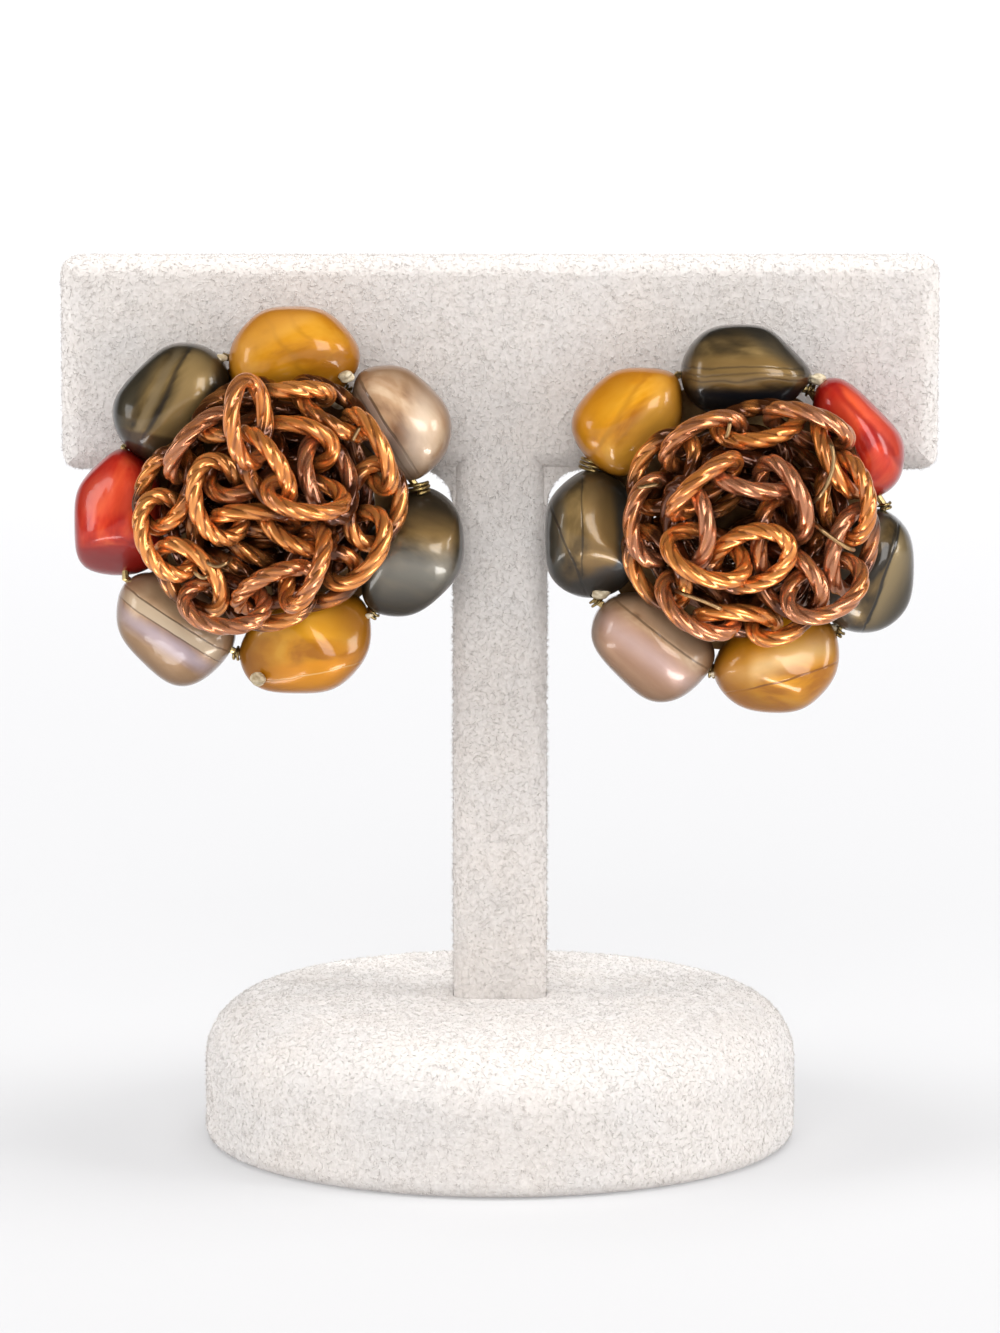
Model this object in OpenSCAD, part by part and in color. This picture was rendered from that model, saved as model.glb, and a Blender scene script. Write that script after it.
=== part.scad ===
// A pair of clip-on earrings, each a ring of pebble beads round a bunched copper chain, on a T-bar stand.
// Millimetres. The origin is the middle of the underside of the base, the front faces -Y and Z is up.

/* [Stand base] */
// Diameter of the round base
base_d = 60; // [56:1:70]
// Height of the base
base_h = 14.6; // [12:0.2:18]
// Radius of the soft edge round the top of the base
base_edge_r = 6.3; // [3:0.1:6.5]
// Radius of the small edge round the underside
base_foot_r = 1.5; // [0.5:0.1:2]

/* [T board] */
// Length of the crossbar
bar_length = 88; // [86:1:110]
// Height of the crossbar
bar_height = 21.4; // [20:0.2:26]
// Height of the crossbar's top edge above the table
bar_top = 89.9; // [88:0.5:110]
// Thickness of the board
board_t = 6; // [5:0.5:8]
// Width of the post
post_w = 9.4; // [8:0.2:14]
// Radius of the board's soft edges
board_edge_r = 2; // [1:0.1:2.4]
// Radius of the inner corners where the post meets the crossbar
inner_corner_r = 3.6; // [1:0.1:5]
// Depth of the socket in the base that holds the foot of the post
socket_depth = 5; // [3:0.5:9]

/* [Earrings] */
// How far the left earring's middle is from the post's middle line
left_x = -23.2; // [-24:0.1:-22]
// How far the left earring's middle is below the crossbar's top edge
left_drop = 24.1; // [22:0.1:25]
// How far the right earring's middle is from the post's middle line
right_x = 23.1; // [22:0.1:24]
// How far the right earring's middle is below the crossbar's top edge
right_drop = 25.9; // [24:0.1:27]
// Half the thickness of a pebble bead, front to back
bead_half_t = 4.7; // [4.2:0.1:4.8]
// How far the middle of a bead stands in front of the plate
bead_lift = 5; // [4.9:0.1:5.2]

/* [Clip] */
// Diameter of the pierced back plate
plate_d = 27; // [24:0.5:28]
// Thickness of the plate and of the clip's strip
plate_t = 1; // [0.8:0.1:1.2]
// Width of the strip that goes under the crossbar
clip_w = 6; // [4:0.5:8]
// Diameter of the round paddle behind the crossbar
paddle_d = 9; // [7:0.5:10]
// How far the middle of the paddle is above the crossbar's lower edge
paddle_rise = 8; // [6:0.5:10]
// Diameter of the holes pierced in the plate
pierce_d = 1.6; // [1:0.1:1.8]

/* [Wire and chain] */
// Diameter of the wire that the beads are threaded on
ring_wire_d = 0.7; // [0.5:0.1:0.8]
// Diameter of the hole drilled through each bead
bore_d = 1.2; // [1:0.1:1.4]
// Thickness of the copper wire of a link
link_wire_d = 1.45; // [1.25:0.05:1.5]
// Half the length of a link, along the middle of its wire
link_half_long = 3.95; // [3.8:0.05:4]
// Half the width of a link, along the middle of its wire
link_half_wide = 2.65; // [2.6:0.05:2.7]

/* [Hidden] */

$fn = 48;
fit_gap = 0.1;
seat_gap = 0.3;
beads_each = 7;
bar_bottom = bar_top - bar_height;
plate_back_y = -board_t / 2 - seat_gap;
plate_front_y = plate_back_y - plate_t;

// Pebble beads, clockwise from the top as seen from the front. Columns: colour, x and z of the middle from
// the earring's middle, x and z of the bend in the ring wire before the next bead, how far the outline
// reaches at each eighth of a turn anticlockwise from +x, and two flats on the front: the direction that
// each one leans, its tilt from the front in degrees, and how far it is from the middle.
COLOUR = 0;
SPOT = 1;
BEND = 2;
REACH = 3;
FLATS = 4;
LEFT_BEADS = [
    ["mustard", [3, 15], [8, 11], [6.75, 5.25, 4.5, 5.5, 6.75, 7.25, 5, 6],
        [[300, 40, 4.6], [110, 35, 4.9]]],
    ["taupe", [13.5, 8], [15, 1.5], [5, 4.5, 5.75, 7, 5, 4.25, 6.25, 5.5],
        [[250, 35, 4.5], [60, 40, 4.6]]],
    ["olive", [14.5, -5], [10.5, -11], [5.25, 6.5, 7, 4.75, 5.25, 7.5, 6.5, 5],
        [[270, 30, 4.3], [80, 40, 4.7]]],
    ["mustard", [4, -14], [-3, -15], [6.5, 7.5, 5.25, 5.25, 7, 7, 5, 5.5],
        [[200, 25, 4.3], [40, 35, 4.7]]],
    ["taupe", [-9, -12.5], [-14, -7.5], [6.25, 4.75, 5.75, 7.25, 6, 4.75, 6, 5.75],
        [[230, 30, 4.4], [50, 35, 4.6]]],
    ["red", [-14.5, -1], [-14, 5.5], [4.25, 5.5, 7.25, 5, 4.5, 7, 6.75, 6.25],
        [[150, 30, 4.2], [265, 50, 4.6]]],
    ["olive", [-9.5, 10], [-4, 14.5], [6.25, 7, 6, 4.5, 5.75, 6.25, 6.25, 4.25],
        [[130, 30, 4.4], [300, 45, 4.7]]]
];
RIGHT_BEADS = [
    ["olive", [1.5, 15], [7.5, 13], [7.75, 4.5, 4.5, 6, 7, 6.5, 4.5, 5.25],
        [[90, 35, 4.4], [270, 45, 4.6]]],
    ["red", [12.5, 8], [15, 1.5], [4.5, 3.5, 6.5, 7.75, 4.75, 4.25, 6, 5.75],
        [[200, 30, 4.3], [20, 45, 4.7]]],
    ["olive", [13, -5], [10.5, -11], [5, 6.25, 6.75, 4.25, 4.75, 6, 6.25, 6],
        [[150, 30, 4.4], [330, 40, 4.5]]],
    ["mustard", [4.5, -14], [-2, -15], [6.25, 6.75, 5.25, 5, 6.75, 6.25, 5.25, 5.5],
        [[60, 25, 4.4], [250, 45, 4.6]]],
    ["taupe", [-8, -12.5], [-13.5, -8], [6.75, 4.75, 5.5, 6.75, 6.25, 4.5, 5.75, 6],
        [[240, 30, 4.4], [40, 40, 4.7]]],
    ["olive", [-14, -1.5], [-14, 5.5], [4.5, 6, 7, 5.75, 4.75, 6, 6.5, 6],
        [[40, 30, 4.4], [270, 40, 4.4]]],
    ["mustard", [-10.5, 10], [-5.5, 14.5], [5.5, 7.25, 5.25, 4.75, 5.75, 5.5, 5.75, 4.5],
        [[300, 30, 4.3], [120, 40, 4.6]]]
];

// The colour that each kind of bead is drawn in
PAINTS = [
    ["mustard", "goldenrod"],
    ["taupe", "rosybrown"],
    ["olive", "darkolivegreen"],
    ["red", "firebrick"]
];

// How square the outline of a pebble is, how full its sides are, and how crisp the edge of a flat is
outline_power = 8;
side_power = 2.5;
flat_power = 12;
bead_sides = 16;
bead_rings = 7;
ring_wire_sides = 8;

// Middle of each link of the two chains, in order from the end at the plate: x and z from the earring's
// middle, and lift in front of the plate. The last link of the left chain stands free over its top bead.
LEFT_LINKS = [
    [-4, -2.5, 3], [0.5, -4, 3.5], [4.5, -2.5, 4], [5, 2.5, 4.5], [1, 4.5, 5], [-3.5, 4, 5.5],
    [-6, 0.5, 6.5], [-3, -3.5, 7.5], [1.5, -5.5, 8], [5.5, -3.5, 8], [8, 0.5, 8], [5.5, 4.5, 8],
    [0.5, 6, 8.5], [-4.5, 6, 8.5], [-8, 2, 8.5], [-7.5, -2.5, 8.5], [-4, -6.5, 9.5], [0.5, -8, 10.5],
    [6, -6, 11], [9, -4, 11.5], [10.5, 0.5, 11.5], [10, 5.5, 11], [6.5, 9, 11.5], [2.5, 11, 12],
    [-2, 8.5, 12], [-5.5, 5.5, 13], [-9, 2, 12.5], [-9.5, -2.5, 12.5], [-6.5, -6.5, 13],
    [-3.5, -9.5, 12.5], [1, -7.5, 14], [5, -5, 14.5], [3.5, -0.5, 13], [-0.5, -1, 13], [-5, 1, 13.5],
    [-2.5, 4.5, 13], [3, 7, 14.5], [6.5, 3, 14], [4, 1.5, 15.5], [0, 4.5, 18], [-0.5, 9.5, 18]
];
RIGHT_LINKS = [
    [3, -2, 3], [-1, -4, 3.5], [-4.5, -1, 4], [-2.5, 3.5, 4.5], [2.5, 4, 5], [6.5, 1.5, 5.5],
    [6.5, -3.5, 7], [3, -6.5, 8], [-1.5, -6, 8], [-6, -3.5, 8.5], [-6.5, 1.5, 8.5], [-3.5, 5.5, 8.5],
    [1, 7, 9], [5.5, 5, 9], [8, 1, 9.5], [8, -3.5, 9.5], [4.5, -7.5, 10.5], [0.5, -9.5, 12],
    [-3.5, -7, 12.5], [-7.5, -3.5, 12], [-7.5, 0.5, 12], [-7, 5.5, 12], [-3, 8, 12.5], [2, 9.5, 12],
    [7, 10, 12], [10, 7, 12.5], [10.5, 3, 13], [11.5, -2, 13], [8, -5, 14], [4.5, -6, 14.5],
    [4, -1.5, 14], [5, 3, 14], [1, 5.5, 14.5], [-3.5, 5, 15], [-5, 0.5, 15.5], [-2.5, -3, 15],
    [1, -1.5, 16]
];
left_play = 0;
right_play = 60;

// A link is laid a quarter turn from the one before it, with some play, and the whole chain is then eased:
// in each pass every wire is pushed off the wires, beads and plate that it is too near to.
link_stations = 14;
link_sides = 5;
first_roll = 40;
quarter_turn = 90;
roll_play = 25;
play_step = 137;
ease_passes = 60;
wire_spacing = 1.95;
bead_spacing = 1;
bead_near = 9;
plate_spacing = 1;
bend_share = 0.8;
shift_share = 1.2;
oval_share = 0.15;

function unit(v) = v / norm(v);
function mean(list) = [for (v = list) 1] * list / len(list);
function sum(list) = [for (v = list) 1] * list;
function total(list) = len(list) == 0 ? [0, 0, 0] : [for (v = list) 1] * list;
function across(v, w) = unit(v - w * (v * w));

// 1 on the surface of a pebble bead, less inside and more outside, for a vector [x, z, lift] from its middle
function outline_size(row, v) =
    let (toward = [for (k = [0:7]) max(0, v.x * cos(45 * k) + v.y * sin(45 * k)) / row[REACH][k]])
    pow(sum([for (t = toward) pow(t, outline_power)]), 1 / outline_power);
function flat_size(f, v) =
    max(0, v * [sin(f[1]) * cos(f[0]), sin(f[1]) * sin(f[0]), cos(f[1])]) / f[2];
function pebble_size(row, v) =
    let (
        outline = pow(outline_size(row, v), side_power),
        round = pow(outline + pow(abs(v.z) / bead_half_t, side_power), 1 / side_power),
        flats = [for (f = row[FLATS]) pow(flat_size(f, v), flat_power)]
    )
    pow(pow(round, flat_power) + sum(flats), 1 / flat_power);

function bead_middle(row) = [row[SPOT].x, row[SPOT].y, bead_lift];

// The link's plain oval about c, with its length along a and its width along b
function oval(c, a, b) =
    let (long = unit(a), wide = across(b, long))
    [for (k = [0:link_stations - 1])
        let (turn = 360 * k / link_stations)
        c + link_half_long * cos(turn) * long + link_half_wide * sin(turn) * wide];
function wave(link, phase) =
    total([for (k = [0:link_stations - 1]) link[k] * cos(360 * k / link_stations - phase)]);

function laid_link(route, i, play) =
    let (
        last = len(route) - 1,
        along = unit(route[min(i + 1, last)] - route[max(i - 1, 0)]),
        side = unit(cross([0, 0, 1], along)),
        up = cross(along, side),
        roll = first_roll + quarter_turn * (i % 2) + roll_play * sin(play_step * i + play)
    )
    oval(route[i], along, side * cos(roll) + up * sin(roll));

function wire_push(p, others) =
    total([for (q = others)
        let (gap = norm(p - q))
        if (gap < wire_spacing) (p - q) * (wire_spacing / gap - 1) / 2]);
function bead_push(p, beads) =
    total([for (row = beads)
        let (v = p - bead_middle(row), far = norm(v))
        if (far < bead_near)
            let (lack = far / pebble_size(row, v) + bead_spacing - far)
            v / far * max(0, lack)]);
function plate_push(p) = [0, 0, max(0, plate_spacing - p.z)];

function eased_link(links, middles, i, beads) =
    let (
        n = link_stations,
        reach = 2 * link_half_long + wire_spacing,
        near = [for (j = [0:len(links) - 1]) if (j != i && norm(middles[i] - middles[j]) < reach) j],
        others = [for (j = near) each links[j]],
        push = [for (p = links[i]) wire_push(p, others) + bead_push(p, beads) + plate_push(p)],
        shift = mean(push) * shift_share,
        moved = [for (k = [0:n - 1])
            let (
                beside = push[(k + 1) % n] + push[(k + n - 1) % n],
                next = push[(k + 2) % n] + push[(k + n - 2) % n]
            )
            links[i][k] + shift + bend_share * (6 * push[k] + 4 * beside + next) / 16],
        plain = oval(mean(moved), wave(moved, 0), wave(moved, 90))
    )
    (1 - oval_share) * moved + oval_share * plain;
function eased(links, beads, passes) =
    passes == 0 ? links :
    let (middles = [for (l = links) mean(l)])
    eased([for (i = [0:len(links) - 1]) eased_link(links, middles, i, beads)], beads, passes - 1);

function link_surface(link) =
    let (n = link_stations, flat = unit(cross(wave(link, 0), wave(link, 90))))
    [for (k = [0:n - 1])
        let (
            along = unit(link[(k + 1) % n] - link[(k + n - 1) % n]),
            out = across(flat, along),
            side = cross(out, along)
        )
        for (m = [0:link_sides - 1])
            let (turn = 360 * m / link_sides)
            link[k] + link_wire_d / 2 * (out * cos(turn) + side * sin(turn))];

// The faces of a closed tube of so many stations and sides, whose first point is number first
function ring_faces(first, stations, sides) =
    [for (k = [0:stations - 1], m = [0:sides - 1])
        let (
            here = first + k * sides,
            next = first + (k + 1) % stations * sides,
            m2 = (m + 1) % sides
        )
        each [[here + m, here + m2, next + m], [here + m2, next + m2, next + m]]];

// From [x, z, lift] on an earring to the stand's own axes
function placed(points) = [for (p = points) [p.x, plate_front_y - p.z, p.y]];

module chain(route, beads, play) {
    laid = [for (i = [0:len(route) - 1]) laid_link(route, i, play)];
    links = eased(laid, beads, ease_passes);
    points = [for (l = links) each link_surface(l)];
    link_points = link_stations * link_sides;
    faces = [for (i = [0:len(links) - 1]) each ring_faces(i * link_points, link_stations, link_sides)];
    color("peru") polyhedron(placed(points), faces);
}

// Where the ring wire bends, between bead k and the next one
function wire_corner(beads, k) =
    let (bend = beads[k % beads_each][BEND])
    [bend.x, plate_front_y - bead_lift, bend.y];

module rod(a, b, d) {
    reach = b - a;
    translate(a)
        rotate([0, acos(reach.z / norm(reach)), atan2(reach.y, reach.x)])
            cylinder(d = d, h = norm(reach));
}

module bead_wire(beads) {
    n = beads_each;
    corners = [for (k = [0:n - 1]) wire_corner(beads, k)];
    points = [for (k = [0:n - 1])
        let (
            before = unit(corners[k] - corners[(k + n - 1) % n]),
            after = unit(corners[(k + 1) % n] - corners[k]),
            out = unit(before - after),
            mitre = 2 / norm(before + after)
        )
        for (m = [0:ring_wire_sides - 1])
            let (turn = 360 * m / ring_wire_sides)
            corners[k] + ring_wire_d / 2 * (out * cos(turn) * mitre + [0, 1, 0] * sin(turn))];
    color("darkgoldenrod") polyhedron(points, ring_faces(0, n, ring_wire_sides));
}

module pebble(row) {
    tilts = [for (r = [1:bead_rings]) 90 - 180 * r / (bead_rings + 1)];
    spots = concat(
        [[0, 0, 1]],
        [for (tilt = tilts, k = [0:bead_sides - 1])
            let (turn = 360 * k / bead_sides)
            [cos(tilt) * cos(turn), cos(tilt) * sin(turn), sin(tilt)]],
        [[0, 0, -1]]
    );
    middle = bead_middle(row);
    points = [for (v = spots) middle + v / pebble_size(row, v)];
    last = len(spots) - 1;
    front = [for (k = [0:bead_sides - 1]) [0, 1 + (k + 1) % bead_sides, 1 + k]];
    sides = [for (r = [0:bead_rings - 2], k = [0:bead_sides - 1])
        let (a = 1 + r * bead_sides + k, b = 1 + r * bead_sides + (k + 1) % bead_sides)
        each [[a, b, a + bead_sides], [b, b + bead_sides, a + bead_sides]]];
    back = [for (k = [0:bead_sides - 1])
        [last, last - bead_sides + k, last - bead_sides + (k + 1) % bead_sides]];
    polyhedron(placed(points), concat(front, sides, back));
}

module bead(beads, k) {
    color(PAINTS[search([beads[k][COLOUR]], PAINTS)[0]][1])
        difference() {
            pebble(beads[k]);
            rod(wire_corner(beads, k + beads_each - 1), wire_corner(beads, k), bore_d);
        }
}

// The rings of holes pierced in the plate. Columns: distance from the plate's middle, and how many holes.
HOLE_RINGS = [[3, 6], [7, 12]];

// The pierced plate and its clip: a strip under the crossbar and a round paddle behind it. drop is how far
// the earring's middle is below the crossbar's top edge.
module clip_back(drop) {
    under = drop - bar_height - seat_gap;
    paddle_y = board_t / 2 + seat_gap;
    paddle_z = under + seat_gap + paddle_rise;
    color("darkkhaki") {
        difference() {
            translate([0, plate_back_y, 0]) rotate([90, 0, 0]) cylinder(d = plate_d, h = plate_t);
            for (ring = HOLE_RINGS)
                for (k = [0:ring[1] - 1])
                    rotate([0, 360 * k / ring[1], 0])
                        translate([0, plate_back_y + plate_t, ring[0]])
                            rotate([90, 0, 0]) cylinder(d = pierce_d, h = 3 * plate_t);
        }
        translate([-clip_w / 2, plate_back_y - plate_t / 2, under - plate_t])
            cube([clip_w, paddle_y + plate_t - plate_back_y + plate_t / 2, plate_t]);
        translate([-clip_w / 2, paddle_y, under - plate_t])
            cube([clip_w, plate_t, paddle_z - under + plate_t]);
        translate([0, paddle_y + plate_t, paddle_z]) rotate([90, 0, 0]) cylinder(d = paddle_d, h = plate_t);
    }
}

module left() { translate([left_x, 0, bar_top - left_drop]) children(); }
module right() { translate([right_x, 0, bar_top - right_drop]) children(); }

module rounded(w, h, r) {
    square([w - 2 * r, h], center = true);
    square([w, h - 2 * r], center = true);
    for (x = [-1, 1], y = [-1, 1])
        translate([x * (w / 2 - r), y * (h / 2 - r)]) circle(r = r);
}

module stand_base() {
    r = base_d / 2;
    color("gainsboro")
        difference() {
            rotate_extrude() {
                square([r - base_edge_r, base_h]);
                translate([0, base_foot_r]) square([r, base_h - base_edge_r - base_foot_r]);
                square([r - base_foot_r, base_h - base_edge_r]);
                translate([r - base_edge_r, base_h - base_edge_r]) circle(r = base_edge_r);
                translate([r - base_foot_r, base_foot_r]) circle(r = base_foot_r);
            }
            translate([0, 0, base_h - socket_depth])
                linear_extrude(base_h) rounded(post_w + 2 * fit_gap, board_t + 2 * fit_gap, board_edge_r);
        }
}

module stand_t_board() {
    foot_z = base_h - socket_depth + fit_gap;
    inner = post_w / 2 + inner_corner_r;
    color("whitesmoke") {
        intersection() {
            translate([0, board_t / 2, bar_top - bar_height / 2])
                rotate([90, 0, 0]) linear_extrude(board_t) rounded(bar_length, bar_height, board_edge_r);
            translate([-bar_length / 2, 0, bar_top - bar_height / 2])
                rotate([90, 0, 90]) linear_extrude(bar_length) rounded(board_t, bar_height, board_edge_r);
            translate([0, 0, bar_bottom])
                linear_extrude(bar_height) rounded(bar_length, board_t, board_edge_r);
        }
        translate([0, 0, foot_z])
            linear_extrude(bar_bottom + bar_height / 2 - foot_z) rounded(post_w, board_t, board_edge_r);
        difference() {
            translate([-inner, -board_t / 2 + board_edge_r / 2, bar_bottom - inner_corner_r])
                cube([2 * inner, board_t - board_edge_r, inner_corner_r + board_edge_r]);
            for (side = [-1, 1])
                translate([side * inner, board_t / 2, bar_bottom - inner_corner_r])
                    rotate([90, 0, 0]) cylinder(r = inner_corner_r, h = board_t);
        }
    }
}

module left_clip_back() { left() clip_back(left_drop); }
module left_bead_wire() { left() bead_wire(LEFT_BEADS); }
module left_chain() { left() chain(LEFT_LINKS, LEFT_BEADS, left_play); }
module left_bead(k) { left() bead(LEFT_BEADS, k - 1); }
module right_clip_back() { right() clip_back(right_drop); }
module right_bead_wire() { right() bead_wire(RIGHT_BEADS); }
module right_chain() { right() chain(RIGHT_LINKS, RIGHT_BEADS, right_play); }
module right_bead(k) { right() bead(RIGHT_BEADS, k - 1); }

stand_base();
stand_t_board();
left_clip_back();
left_bead_wire();
left_chain();
left_bead(1);  // left_bead_1
left_bead(2);  // left_bead_2
left_bead(3);  // left_bead_3
left_bead(4);  // left_bead_4
left_bead(5);  // left_bead_5
left_bead(6);  // left_bead_6
left_bead(7);  // left_bead_7
right_clip_back();
right_bead_wire();
right_chain();
right_bead(1);  // right_bead_1
right_bead(2);  // right_bead_2
right_bead(3);  // right_bead_3
right_bead(4);  // right_bead_4
right_bead(5);  // right_bead_5
right_bead(6);  // right_bead_6
right_bead(7);  // right_bead_7
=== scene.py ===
import math

import bmesh
import bpy
import numpy as np
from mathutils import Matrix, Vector


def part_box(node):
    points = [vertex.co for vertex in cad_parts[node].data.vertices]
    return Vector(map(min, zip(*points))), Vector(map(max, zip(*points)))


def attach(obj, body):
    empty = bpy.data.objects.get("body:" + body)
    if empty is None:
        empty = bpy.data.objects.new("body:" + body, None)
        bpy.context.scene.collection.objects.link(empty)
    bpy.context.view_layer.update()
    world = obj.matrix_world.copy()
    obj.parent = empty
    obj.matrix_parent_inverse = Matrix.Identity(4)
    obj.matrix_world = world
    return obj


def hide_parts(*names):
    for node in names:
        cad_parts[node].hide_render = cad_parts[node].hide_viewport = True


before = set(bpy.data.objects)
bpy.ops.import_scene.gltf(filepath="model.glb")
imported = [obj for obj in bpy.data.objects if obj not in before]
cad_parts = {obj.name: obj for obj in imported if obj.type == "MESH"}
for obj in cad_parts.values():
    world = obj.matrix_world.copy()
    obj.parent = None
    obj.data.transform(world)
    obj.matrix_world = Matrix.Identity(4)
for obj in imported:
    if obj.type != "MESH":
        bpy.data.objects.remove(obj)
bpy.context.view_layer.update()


# Table top, lamps and camera
# The stand is on white paper that curves up behind it and glows where it is far away. A big lamp hangs
# overhead, wide ones stand in front and at both sides, and five small ones are there for the shine of the
# beads and the wire.
MM = 0.001


def feed(socket, value):
    """Gives a socket a fixed number or colour, or links another node's output to it."""
    if isinstance(value, bpy.types.NodeSocket):
        socket.id_data.links.new(value, socket)
    else:
        socket.default_value = value


def plain_node(tree, kind, **values):
    """A shader node. Each value is a setting or, with _ for a space, goes to the socket of that name."""
    node = tree.nodes.new(kind)
    for name, value in values.items():
        if hasattr(node, name):
            setattr(node, name, value)
        else:
            feed(node.inputs[name.replace("_", " ")], value)
    return node


def worked_out(tree, operation, *values):
    """The result of one step of arithmetic in a material."""
    step = plain_node(tree, "ShaderNodeMath", operation=operation)
    for socket, value in zip(step.inputs, values):
        feed(socket, value)
    return step.outputs[0]


def rescaled(tree, value, low, high, new_low, new_high, curve="LINEAR"):
    """A value that runs from new_low to new_high while the given one runs from low to high."""
    node = plain_node(tree, "ShaderNodeMapRange", interpolation_type=curve, Value=value, From_Min=low,
                      From_Max=high, To_Min=new_low, To_Max=new_high)
    return node.outputs["Result"]


def new_material(name):
    material = bpy.data.materials.new(name)
    material.use_nodes = True
    material.node_tree.nodes.clear()
    return material, material.node_tree


def surface_place(tree):
    """Where each point of a surface is, in metres."""
    return plain_node(tree, "ShaderNodeTexCoord").outputs["Object"]


def make_mesh(name, points_mm, faces):
    mesh = bpy.data.meshes.new(name)
    points = np.asarray(points_mm, dtype=float) * MM
    mesh.from_pydata(points.tolist(), [], [list(map(int, face)) for face in faces])
    mesh.update()
    mesh.shade_smooth()
    piece = bpy.data.objects.new(name, mesh)
    bpy.context.scene.collection.objects.link(piece)
    return piece


def white_paper():
    near_stand, all_far = -150, 1200
    dim_glow, full_glow = 0.205, 0.73
    free_aside, free_ahead = 400, 900
    material, tree = new_material("white_paper")
    spot = plain_node(tree, "ShaderNodeSeparateXYZ", Vector=surface_place(tree))
    behind = spot.outputs["Y"]
    aside = worked_out(tree, "SUBTRACT", worked_out(tree, "ABSOLUTE", spot.outputs["X"]), free_aside * MM)
    ahead = worked_out(tree, "MULTIPLY_ADD", behind, -1, -free_ahead * MM)
    far = worked_out(tree, "MAXIMUM", worked_out(tree, "MAXIMUM", behind, aside), ahead)
    glowing = rescaled(tree, far, near_stand * MM, all_far * MM, dim_glow, full_glow)
    matt = plain_node(tree, "ShaderNodeBsdfDiffuse", Color=(0.43, 0.428, 0.43, 1))
    glow = plain_node(tree, "ShaderNodeEmission", Color=(0.98, 0.98, 1, 1), Strength=glowing)
    both = plain_node(tree, "ShaderNodeAddShader")
    feed(both.inputs[0], matt.outputs[0])
    feed(both.inputs[1], glow.outputs[0])
    plain_node(tree, "ShaderNodeOutputMaterial", Surface=both.outputs[0])
    return material


def white_table():
    front, back, wide, rise = -4000, 1500, 4000, 1200
    bend, bend_steps = 350, 16
    profile = [(front, 0), (back - bend, 0)]
    for step in range(1, bend_steps + 1):
        turn = math.pi / 2 * step / bend_steps
        profile.append((back - bend + bend * math.sin(turn), bend - bend * math.cos(turn)))
    profile.append((back, rise))
    points = [(side * wide, y, z) for y, z in profile for side in (-1, 1)]
    faces = [(2 * k, 2 * k + 1, 2 * k + 3, 2 * k + 2) for k in range(len(profile) - 1)]
    table = make_mesh("white_table", points, faces)
    table.data.materials.append(white_paper())


# Columns: name, place, the point that it faces, width and height, all in mm, then watts, whether gloss
# mirrors it, and whether it lights matt surfaces.
LAMPS = [
    ("overhead_lamp", (120, -160, 1800), (0, 0, 30), (1800, 1400), 35, False, True),
    ("front_lamp", (-60, -900, 400), (0, 0, 60), (700, 500), 4.9, False, True),
    ("left_fill", (-900, -120, 480), (0, 0, 30), (500, 400), 3.3, False, True),
    ("right_fill", (900, -120, 480), (0, 0, 30), (500, 400), 3.3, False, True),
    ("left_lamp", (-420, -200, 160), (0, 0, 50), (100, 200), 0.36, True, True),
    ("right_lamp", (420, -200, 160), (0, 0, 50), (100, 200), 0.62, True, True),
    ("window_light", (190, -340, 145), (0, 0, 65), (150, 200), 0.74, True, False),
    ("low_left_lamp", (-60, -48, 6), (-24, -8, 66), (36, 14), 0.013, True, False),
    ("low_right_lamp", (30, -48, 6), (12, -8, 66), (36, 14), 0.024, True, False),
]


def soft_lamp(name, place_mm, aim_mm, size_mm, watts, mirrored, lights_matt):
    lamp = bpy.data.lights.new(name, "AREA")
    lamp.shape = "RECTANGLE"
    lamp.size, lamp.size_y = size_mm[0] * MM, size_mm[1] * MM
    lamp.energy = watts
    fitting = bpy.data.objects.new(name, lamp)
    fitting.visible_glossy = mirrored
    fitting.visible_diffuse = lights_matt
    fitting.visible_camera = False
    place = np.array(place_mm) * MM
    fitting.location = place
    fitting.rotation_euler = Vector(np.array(aim_mm) * MM - place).to_track_quat("-Z", "Y").to_euler()
    bpy.context.scene.collection.objects.link(fitting)


def photo_camera():
    focal_px, image_high_px = 4968.5, 1333
    sensor = 36
    place_mm = (0, -500, 111.4)
    tilt_down = 7.196
    nearest_mm, farthest_mm = 10, 10000
    lens = bpy.data.cameras.new("photo_camera")
    lens.sensor_fit = "AUTO"
    lens.sensor_width = sensor
    lens.lens = focal_px / image_high_px * sensor
    lens.clip_start = nearest_mm * MM
    lens.clip_end = farthest_mm * MM
    camera = bpy.data.objects.new("photo_camera", lens)
    camera.location = np.array(place_mm) * MM
    camera.rotation_euler = (math.radians(90 - tilt_down), 0, 0)
    bpy.context.scene.collection.objects.link(camera)
    bpy.context.scene.camera = camera


def room_light():
    faint_light = 0.07
    world = bpy.data.worlds.new("studio")
    world.use_nodes = True
    light = world.node_tree.nodes["Background"]
    feed(light.inputs["Color"], (1, 1, 1, 1))
    feed(light.inputs["Strength"], faint_light)
    bpy.context.scene.world = world
    bpy.context.scene.view_settings.view_transform = "Standard"


white_table()
for lamp_row in LAMPS:
    soft_lamp(*lamp_row)
photo_camera()
room_light()


# Stand
# A round wooden base and a T-shaped board glued into it, both sprayed with pale grey-beige velvet flock:
# short fibres that lie over in all directions. The fibres are loose spikes set into the boards' own surfaces.
def noise(tree, where, scale, detail, roughness=0.5, distortion=0):
    pattern = plain_node(tree, "ShaderNodeTexNoise", Vector=where, Scale=scale, Detail=detail,
                         Roughness=roughness, Distortion=distortion)
    return pattern.outputs["Fac"]


def colour_ramp(tree, value, first, last, *between):
    """Colours along a value. Each row is the value and the colour that it gives."""
    ramp = plain_node(tree, "ShaderNodeValToRGB", Fac=value)
    stops = ramp.color_ramp.elements
    for stop, (position, colour) in zip(stops, (first, last)):
        stop.position = position
        stop.color = (*colour, 1)
    for position, colour in between:
        stops.new(position).color = (*colour, 1)
    return ramp.outputs["Color"]


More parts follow.
